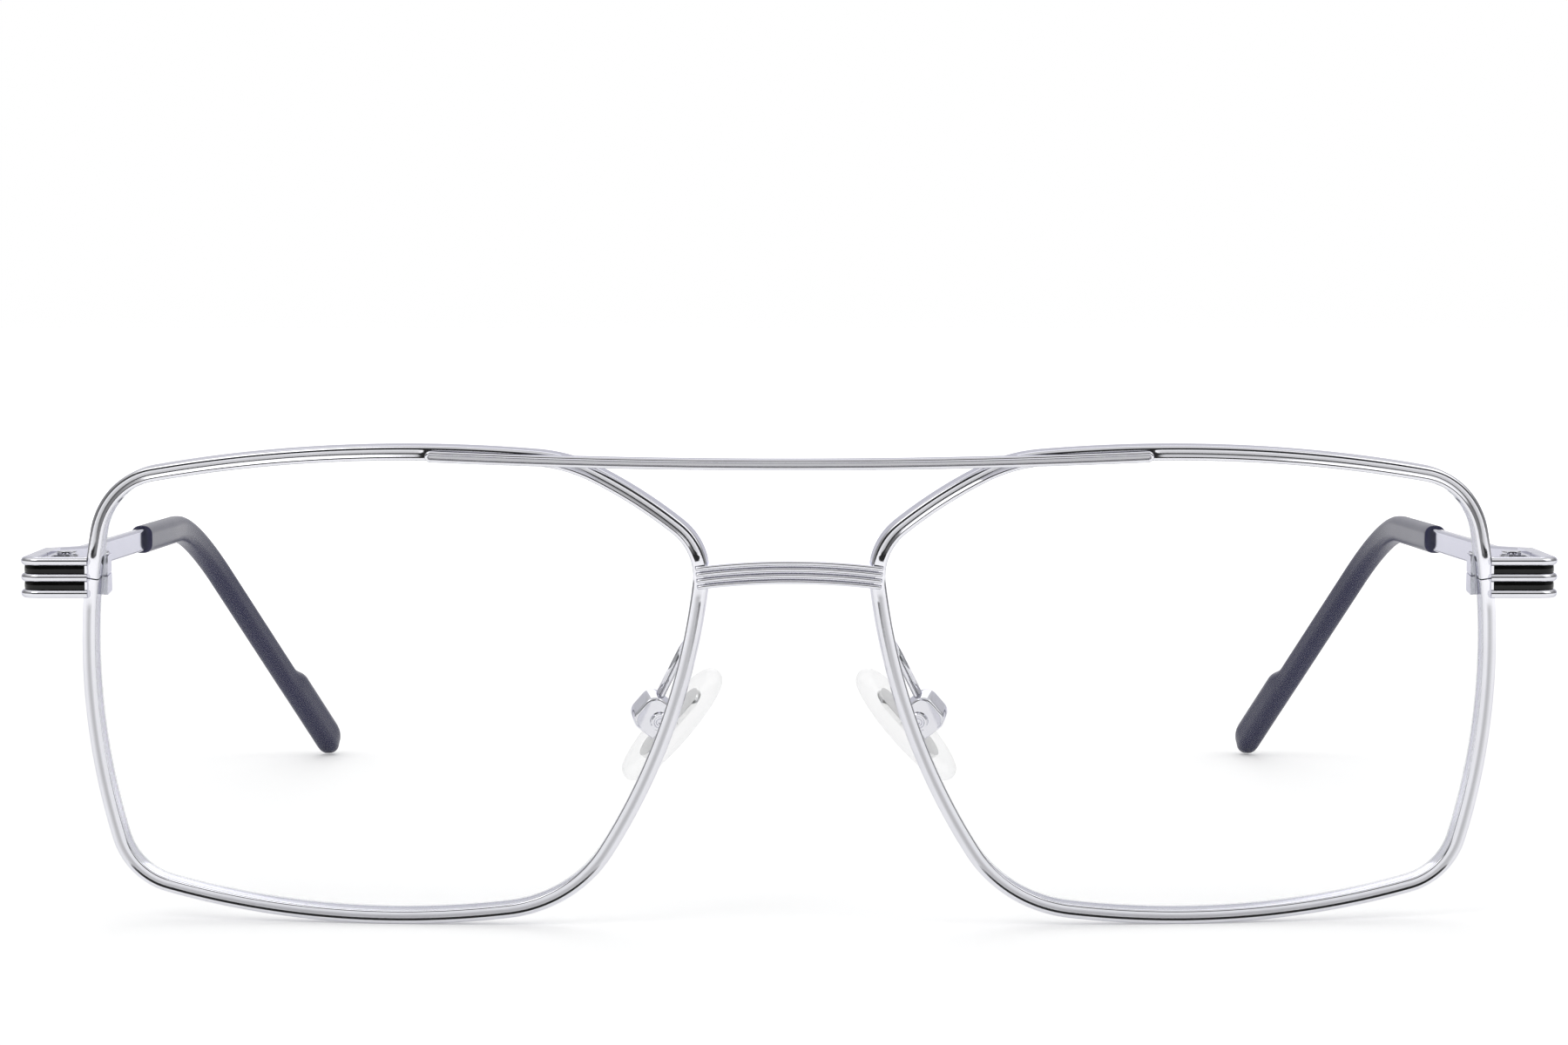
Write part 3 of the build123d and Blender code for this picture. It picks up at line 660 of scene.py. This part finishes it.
def break_edges(node, material, slot, body, size):
    """Copy of a CAD node with its sharp edges rounded, in place of the node."""
    bm = bmesh.new()
    bm.from_mesh(frame["nodes"][node].data)
    bmesh.ops.scale(bm, vec=(1 / MM, 1 / MM, 1 / MM), verts=bm.verts)
    bmesh.ops.remove_doubles(bm, verts=bm.verts, dist=MERGE)
    bmesh.ops.dissolve_limit(bm, angle_limit=FLAT_ANGLE, verts=bm.verts, edges=bm.edges)
    sharp = [e for e in bm.edges if len(e.link_faces) == 2 and e.calc_face_angle() > BREAK_ANGLE]
    if size:
        round_off(bm, sharp, size)
    add_piece(f"{node}_finished", bm, material, slot, body, node, seated=False)


# Each part's material, slot and body, and the size of its broken edges
SMALL_PARTS = {
    "block_upper": (silver, "polished_metal", "front", 0.06),
    "block_lower": (silver, "polished_metal", "front", 0.06),
    "block_screw": (silver, "polished_metal", "front", 0.04),
    "hinge_front": (silver, "polished_metal", "front", 0.05),
    "hinge_screw": (silver, "polished_metal", "front", 0.04),
    "pad_arm": (silver, "polished_metal", "front", 0),
    "pad_core": (steel, "pad_core", "{side}_pad", 0.04),
    "hinge_temple": (silver, "polished_metal", "{side}_temple_arm", 0.05),
    "temple": (silver, "polished_metal", "{side}_temple_arm", 0.05),
    "temple_inlay": (enamel, "black_enamel", "{side}_temple_arm", 0.04),
}
for part, (material, slot, body, size) in SMALL_PARTS.items():
    for side in ("left", "right"):
        break_edges(f"{side}_{part}", material, slot, body.format(side=side), size)


# Temple tips. Each is a moulded navy plastic sleeve pushed over the temple's core
# wire. It is even round the bend, then swells on its upper side to a flat paddle.
TEMPLE_LENGTH = 140
TIP_START = 60
BEND_AT = 93.3
BLOCK_LENGTH = 7
SEAM_GAP = 0.06
BEND_RADIUS = 24
# Each pair is how far down the temple leans and how far inwards
LEAN = radians(1.1), radians(0.5)
DROP = radians(42.1), radians(23.5)
TIP_HEIGHT = 3.1
TIP_THICKNESS = 2.4
TIP_ROUNDING = 1.0
TIP_MOUTH_BREAK = 0.18
LEVEL_STEPS = 8
BEND_STEPS = 26
DROP_STEPS = 10
PADDLE_HEIGHT = 4.3
PADDLE_THICKNESS = 2.6
PADDLE_LENGTH = 16
PADDLE_FLARE = 3.6
# The paddle ends in a cap that narrows as a circle does, and thins by a power of that
PADDLE_CAP = 2.3
CAP_THINNING = 0.8
CAP_TURNS = [radians(angle) for angle in (15, 30, 44, 56, 66, 74, 81, 86)]
# Steps along the paddle: short ones while it swells, then longer ones
FLARE_STEP = 0.4
FLARE_STEPS = 12
PADDLE_STEP = 1.2
PADDLE_STEPS = 7
PADDLE_STEPS_FROM = 5

NAVY_DARK = (0.008, 0.008, 0.052, 1)
NAVY_PALE = (0.014, 0.013, 0.064, 1)
NAVY_ROUGHNESS = 0.26
BLOOM_ROUGHNESS = 0.1
NAVY_SHINE = 0.25
NAVY_CLOUD = 120, 3
NAVY_GRAIN = 6000, 1
NAVY_BUMPS = 0.06, 0.00002


def dress_tip(start, place):
    """Satin navy plastic with a soft bloom where it is handled."""
    cloud = noise(place, *NAVY_CLOUD)
    return {"Base Color": mixed(cloud, NAVY_DARK, NAVY_PALE),
            "Roughness": NAVY_ROUGHNESS + BLOOM_ROUGHNESS * cloud, "Specular IOR Level": NAVY_SHINE,
            "Normal": bumps(noise(place, *NAVY_GRAIN), *NAVY_BUMPS)}


navy = make_material("navy_plastic", dress_tip)


def backward(down, inward):
    """Unit vector back along a temple that leans down and inwards."""
    return Vector((-sin(inward) * cos(down), cos(inward) * cos(down), -sin(down)))


arm_way, drop_way = backward(*LEAN), backward(*DROP)
block_back = Vector((end_high.x - END_THICKNESS / 2, end_high.y + SEAM_GAP + BLOCK_LENGTH, end_middle))
bend_point = block_back + arm_way * (BEND_AT - BLOCK_LENGTH)
tip_begin = block_back + arm_way * (TIP_START - BLOCK_LENGTH)
tip_end = bend_point + drop_way * (TEMPLE_LENGTH - BEND_AT)
bend_axis = arm_way.cross(drop_way).normalized()
bend_angle = arm_way.angle(drop_way)
tangent = BEND_RADIUS * tan(bend_angle / 2)
bend_start = bend_point - arm_way * tangent
bend_end = bend_point + drop_way * tangent
bend_centre = bend_start + bend_axis.cross(arm_way) * BEND_RADIUS
neck = tip_end - drop_way * PADDLE_LENGTH
side_way = arm_way.cross(Vector((0, 0, 1))).normalized()
up_way = side_way.cross(arm_way)
turn = Matrix.Rotation(bend_angle, 3, bend_axis)
drop_side, drop_up = turn @ side_way, turn @ up_way
arm_turn = Matrix((side_way, up_way, -arm_way)).transposed().to_4x4()
drop_turn = Matrix((drop_side, drop_up, -drop_way)).transposed().to_4x4()


def paddle_size(along):
    """Height, thickness and rise of the paddle at a distance from its neck."""
    flare = ease(along / PADDLE_FLARE)
    height = TIP_HEIGHT + (PADDLE_HEIGHT - TIP_HEIGHT) * flare
    thickness = TIP_THICKNESS + (PADDLE_THICKNESS - TIP_THICKNESS) * flare
    rise = (height - TIP_HEIGHT) / 2
    into_cap = max(0, along - PADDLE_LENGTH + PADDLE_CAP) / PADDLE_CAP
    cap = sqrt(max(0, 1 - into_cap ** 2))
    return height * cap, thickness * cap ** CAP_THINNING, rise


bm = bmesh.new()
half_x, half_z = TIP_THICKNESS / 2, TIP_HEIGHT / 2
sleeve = rounded([(half_x, -half_z), (half_x, half_z), (-half_x, half_z), (-half_x, -half_z)],
                 [TIP_ROUNDING] * 4, steps=6)
section = draw_section(bm, sleeve, Matrix.Translation(tip_begin) @ arm_turn)
mouth = bmesh.ops.contextual_create(bm, geom=section)["faces"]
section = run_on(bm, section, (bend_start - tip_begin) / LEVEL_STEPS, LEVEL_STEPS)
section = sweep(bm, section, bend_centre, bend_axis, bend_angle, BEND_STEPS)
section = run_on(bm, section, (neck - bend_end) / DROP_STEPS, DROP_STEPS)
stations = [FLARE_STEP * (i + 1) for i in range(FLARE_STEPS)]
stations += [PADDLE_STEPS_FROM + PADDLE_STEP * (i + 1) for i in range(PADDLE_STEPS)]
stations += [PADDLE_LENGTH - PADDLE_CAP]
stations += [PADDLE_LENGTH - PADDLE_CAP * (1 - sin(angle)) for angle in CAP_TURNS]
here, (tall, thick, risen) = 0, paddle_size(0)
for station in stations:
    section = run_on(bm, section, drop_way * (station - here))
    height, thickness, rise = paddle_size(station)
    local = Matrix.Translation(neck + drop_way * station + drop_up * risen) @ drop_turn
    scale = Matrix.Diagonal((thickness / thick, height / tall, 1, 1))
    lift = Matrix.Translation(drop_up * (rise - risen))
    bmesh.ops.transform(bm, matrix=lift @ local @ scale @ local.inverted(), verts=verts_of(section))
    here, tall, thick, risen = station, height, thickness, rise
bmesh.ops.contextual_create(bm, geom=section)
bmesh.ops.recalc_face_normals(bm, faces=bm.faces)
round_off(bm, edges_of(mouth), TIP_MOUTH_BREAK, segments=3)
add_pair("navy_tip", bm, navy, "dark_tip", "{side}_temple_arm", "temple_tip", seated=False)


# Pad boxes and their screws. Each box is a round-cornered cup of plated metal on
# the end of its arm, open towards the pad. The screw has a turned head with rings.
PAD_SLANT = radians(41)
PAD_SPLAY = radians(13)
BOX_LENGTH = 3.7
BOX_WIDTH = 3.1
BOX_DEPTH = 2.9
BOX_LIP = 0.75
BOX_WALL = 0.45
BOX_BREAK = 0.3
BOX_ROUNDING = 1.2
SCREW_RADIUS = 0.4
HEAD_RADIUS = 0.95
HEAD_HEIGHT = 0.3
HEAD_SHARP_ANGLE = radians(25)
# The head's turned rings, from its middle, as shares of its radius and its height
RING_SHARES = [(0, 0.4), (0.13, 0.4), (0.2, 0.95), (0.34, 1), (0.44, 0.5),
               (0.58, 0.5), (0.68, 0.95), (0.86, 1), (1, 0.6)]
SCREW_STEPS = 40


def broad_faces(bm):
    """Faces with more than four corners."""
    return [face for face in bm.faces if len(face.verts) > 4]


def inset(bm, face):
    """Frame a face with new ones of no width, for it to be moved or scaled inside them."""
    bmesh.ops.inset_individual(bm, faces=[face], thickness=0, depth=0, use_even_offset=False)


pivot = next(Vector(joint["pos_m"]) / MM for joint in frame["joints"] if joint["name"] == "left_pad_rock")
down, forward = Vector((sin(PAD_SLANT), 0, -cos(PAD_SLANT))), Vector((0, -1, 0))
pad_turn = Matrix((down, forward, down.cross(forward))).transposed().to_4x4()
pad_turn = Matrix.Rotation(TILT, 4, "X") @ pad_turn @ Matrix.Rotation(PAD_SPLAY, 4, "X")
pad_place = Matrix.Translation(pivot) @ pad_turn

half_x, half_y = BOX_LENGTH / 2, BOX_DEPTH / 2
bottom = BOX_LIP - BOX_WIDTH
cup = rounded([(half_x, BOX_LIP), (half_x, bottom), (-half_x, bottom), (-half_x, BOX_LIP)],
              [0, BOX_ROUNDING, BOX_ROUNDING, 0], steps=10)
standing = Matrix(((1, 0, 0, 0), (0, 0, 1, -half_y), (0, 1, 0, 0), (0, 0, 0, 1)))
bm = bmesh.new()
wall = bmesh.ops.contextual_create(bm, geom=draw_section(bm, cup, standing))["faces"]
made = bmesh.ops.extrude_face_region(bm, geom=wall, use_keep_orig=True)["geom"]
bmesh.ops.translate(bm, vec=(0, BOX_DEPTH, 0), verts=verts_of(made))
bmesh.ops.recalc_face_normals(bm, faces=bm.faces)
round_off(bm, edges_of(broad_faces(bm)), BOX_BREAK, segments=5)
mouth = max(bm.faces, key=lambda face: face.normal.z * face.calc_area())
inset(bm, mouth)
room = ((half_x - BOX_WALL) / half_x, (half_y - BOX_WALL) / (half_y - BOX_BREAK), 1)
bmesh.ops.scale(bm, vec=room, verts=mouth.verts[:])
inset(bm, mouth)
bmesh.ops.translate(bm, vec=(0, 0, BOX_WALL - BOX_WIDTH), verts=mouth.verts[:])
round_off(bm, mouth.edges[:], BOX_WALL, segments=4)
bmesh.ops.transform(bm, matrix=pad_place, verts=bm.verts)
add_pair("pad_cup", bm, silver, "polished_metal", "front", "pad_box", seated=False)

bm = bmesh.new()
head = [(radius * HEAD_RADIUS, half_y + height * HEAD_HEIGHT) for radius, height in RING_SHARES]
shank = [(HEAD_RADIUS, half_y), (SCREW_RADIUS, half_y), (SCREW_RADIUS, -half_y), (0, -half_y)]
section = draw_section(bm, head + shank, Matrix.Identity(4), closed=False)
bmesh.ops.spin(bm, geom=section, axis=(0, 1, 0), angle=2 * pi, steps=SCREW_STEPS, use_merge=True)
bmesh.ops.remove_doubles(bm, verts=bm.verts, dist=SEAM_MERGE)
bmesh.ops.recalc_face_normals(bm, faces=bm.faces)
bmesh.ops.transform(bm, matrix=pad_place, verts=bm.verts)
add_pair("pad_ring_screw", bm, silver, "polished_metal", "front", "pad_screw", seated=False,
         sharp_angle=HEAD_SHARP_ANGLE)


# Nose pads. Each is a clear soft plastic oval, moulded round its steel core and
# held in its box by a screw, on which it rocks.
PAD_LENGTH = 14
PAD_WIDTH = 7.6
PAD_THICKNESS = 2.2
PAD_ROUNDING = 0.95
PAD_CROWN = 0.25
PAD_SEGMENTS = 72
PAD_RINGS = (0.8, 0.75, 0.66, 0.5)
PAD_STAND_OFF = 1.15
PAD_SHIFT_BACK = 1.4

PAD_TONE = (0.97, 0.97, 0.98, 1)
PAD_IOR = 1.45
PAD_ALPHA = 0.05
PAD_SLANT_ALPHA = 0.4
PAD_BLEND = 0.3
PAD_ROUGHNESS = 0.04
MILKY_ROUGHNESS = 0.05
PAD_CLOUD = 300, 2


def dress_pad(start, place):
    """Clear soft plastic, a little milky inside and shiny at a slant."""
    slant = start.node("LayerWeight", {"Blend": PAD_BLEND}, output="Facing")
    return {"Base Color": PAD_TONE, "Roughness": PAD_ROUGHNESS + MILKY_ROUGHNESS * noise(place, *PAD_CLOUD),
            "Alpha": PAD_ALPHA + PAD_SLANT_ALPHA * slant, "IOR": PAD_IOR}


clear_pad = make_material("clear_pad_plastic", dress_pad)
clear_pad.surface_render_method = "BLENDED"
bm = bmesh.new()
bmesh.ops.create_circle(bm, cap_ends=True, segments=PAD_SEGMENTS, radius=1)
bmesh.ops.scale(bm, vec=(PAD_LENGTH / 2, PAD_WIDTH / 2, 1), verts=bm.verts)
made = bmesh.ops.extrude_face_region(bm, geom=bm.faces[:], use_keep_orig=True)["geom"]
bmesh.ops.translate(bm, vec=(0, 0, PAD_THICKNESS), verts=verts_of(made))
bmesh.ops.recalc_face_normals(bm, faces=bm.faces)
round_off(bm, edges_of(broad_faces(bm)), PAD_ROUNDING, segments=6)
flats = broad_faces(bm)
for face in flats:
    for share in PAD_RINGS:
        inset(bm, face)
        bmesh.ops.scale(bm, vec=(share, share, 1), verts=face.verts[:])
bmesh.ops.poke(bm, faces=flats)
for vert in bm.verts:
    outwards = min(1, (2 * vert.co.x / PAD_LENGTH) ** 2 + (2 * vert.co.y / PAD_WIDTH) ** 2)
    if vert.co.z > PAD_THICKNESS / 2:
        vert.co.z -= PAD_CROWN * outwards
bmesh.ops.translate(bm, vec=(0, -PAD_SHIFT_BACK, PAD_STAND_OFF), verts=bm.verts)
bmesh.ops.transform(bm, matrix=pad_place, verts=bm.verts)
add_pair("clear_pad", bm, clear_pad, "clear_pad", "{side}_pad", "nose_pad", seated=False)


# The floor, the room and the lamps, in metres. The floor and the room are white to
# the camera, as a studio sweep is. Metal and glass see a white wall behind the
# object and a dark band ahead of it, which draws the dark lines in polished metal.
FLOOR_SIZE = 3
FLOOR_DROP = 0.00002
FLOOR_TONE = (0.93, 0.93, 0.93, 1)
FLOOR_ROUGHNESS = 0.6
FLOOR_SHINE = 0.1
FLOOR_NEAR = 0.15
FLOOR_FAR = 0.5
FLOOR_GLOW = 0.22
FLOOR_FAR_GLOW = 0.26
WHITE = (1, 1, 1, 1)

# Shades of the room, from straight down at 0 to straight up at 1
ROOM_SHADES = [(0.0, 0.75), (0.42, 0.7), (0.5, 0.3), (0.7, 0.3), (0.88, 0.95), (1.0, 0.7)]
# Where the wall and the band come in, by a unit vector's way to the back and its rise
WALL_BEHIND = 0.6, 0.9
BAND_AHEAD = -0.4, -0.75
BAND_FOOT = -0.1, 0
BAND_TOP = 0.35, 0.7
WALL_TONE = (0.97, 0.97, 0.98, 1)
BAND_TONE = (0.03, 0.03, 0.03, 1)

# Each lamp's place, size and power in watts
LAMPS = {
    "key": ((-0.5, -0.5, 0.7), 0.5, 1.2),
    "fill": ((0.6, -0.3, 0.5), 0.5, 0.8),
    "back": ((0.0, 0.7, 0.6), 0.6, 1.1),
}


def dress_floor(start, place):
    """Matt white that glows in what the camera, metal and glass see, more so far off."""
    kinds = ("Camera", "Glossy", "Transmission")
    seen = [start.node("LightPath", {}, output=f"Is {kind} Ray") for kind in kinds]
    rays = start.node("Clamp", {"Value": seen[0] + seen[1] + seen[2]})
    distance = start.node("VectorMath", {0: place}, output="Value", operation="LENGTH")
    glow = FLOOR_GLOW + FLOOR_FAR_GLOW * passing(distance, FLOOR_NEAR, FLOOR_FAR)
    return {"Base Color": FLOOR_TONE, "Roughness": FLOOR_ROUGHNESS, "Specular IOR Level": FLOOR_SHINE,
            "Emission Color": WHITE, "Emission Strength": rays * glow}


floor_mesh = bpy.data.meshes.new("floor")
bm = bmesh.new()
bmesh.ops.create_grid(bm, x_segments=1, y_segments=1, size=FLOOR_SIZE)
bm.to_mesh(floor_mesh)
bm.free()
floor_mesh.materials.append(make_material("white_sweep", dress_floor))
floor = bpy.data.objects.new("floor", floor_mesh)
bpy.context.scene.collection.objects.link(floor)
floor.location.z = -FLOOR_DROP

world = bpy.data.worlds.new("studio")
bpy.context.scene.world = world
world.use_nodes = True
tree = world.node_tree
start = Value(tree)
way = start.node("TexCoord", {}, output="Generated")
back_way = start.node("SeparateXYZ", {"Vector": way}, output="Y")
rise = start.node("SeparateXYZ", {"Vector": way}, output="Z")
room = start.node("ValToRGB", {"Fac": 0.5 + 0.5 * rise}, stops=ROOM_SHADES)
band = passing(back_way, *BAND_AHEAD) * passing(rise, *BAND_FOOT) * (1 - passing(rise, *BAND_TOP))
room = mixed(band, room, BAND_TONE)
room = mixed(passing(back_way, *WALL_BEHIND), room, WALL_TONE)
room = mixed(start.node("LightPath", {}, output="Is Camera Ray"), room, WHITE)
background = tree.nodes["Background"]
tree.links.new(room.socket, background.inputs["Color"])
background.inputs["Strength"].default_value = 1

for name, (spot, size, power) in LAMPS.items():
    lamp = bpy.data.lights.new(name, "AREA")
    lamp.size = size
    lamp.energy = power
    lamp_object = bpy.data.objects.new(name, lamp)
    bpy.context.scene.collection.objects.link(lamp_object)
    lamp_object.location = spot
    lamp_object.rotation_euler = (-Vector(spot)).to_track_quat("-Z", "Y").to_euler()


# The camera stands where the photographer's did and looks a little down. Its place
# is in metres, and its lens and sensor in millimetres.
CAMERA_SPOT = (-0.0005, -0.4485, 0.0645)
CAMERA_LEVEL = radians(90)
CAMERA_PITCH = radians(3.83)
CAMERA_LENS = 92.42
CAMERA_SENSOR = 36
CAMERA_NEAREST = 0.01

camera_data = bpy.data.cameras.new("camera")
camera_data.lens = CAMERA_LENS
camera_data.sensor_width = CAMERA_SENSOR
camera_data.clip_start = CAMERA_NEAREST
camera = bpy.data.objects.new("camera", camera_data)
bpy.context.scene.collection.objects.link(camera)
camera.location = CAMERA_SPOT
camera.rotation_euler = (CAMERA_LEVEL - CAMERA_PITCH, 0, 0)
bpy.context.scene.camera = camera
bpy.context.scene.view_settings.view_transform = "Standard"
